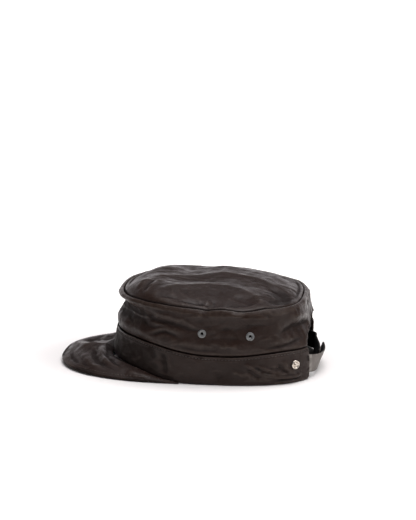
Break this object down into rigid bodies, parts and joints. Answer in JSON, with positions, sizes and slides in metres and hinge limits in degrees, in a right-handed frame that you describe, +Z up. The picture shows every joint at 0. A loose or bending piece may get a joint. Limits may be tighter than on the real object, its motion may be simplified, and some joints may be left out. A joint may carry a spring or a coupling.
{
  "type": "leather work cap",
  "caption": "Soft leather work cap with an oval domed top, a rolled side wall, a doubled band, a short arched peak and a strap across the open back.",
  "frame": {"origin": "middle of the footprint, on the surface that the cap rests on", "axes": "+Z up, the peak points to -Y, the wearer's left side faces +X, the open back faces +Y"},
  "size_m": [0.1724, 0.266, 0.0887],
  "materials": {
    "leather": "soft, lightly waxed, very dark brown",
    "strap_leather": "worn, greyed dark leather",
    "snap_metal": "polished, slightly warm",
    "washer_metal": "matt grey"
  },
  "bodies": {
    "root": {"crown_top": "leather", "crown_side": "leather", "band": "leather", "peak": "leather", "strap_near": "strap_leather", "strap_far": "strap_leather", "snap_near": "snap_metal", "snap_far": "snap_metal", "eyelet_near_front": "washer_metal", "eyelet_far_front": "washer_metal", "eyelet_near_back": "washer_metal", "eyelet_far_back": "washer_metal"}
  },
  "joints": []
}
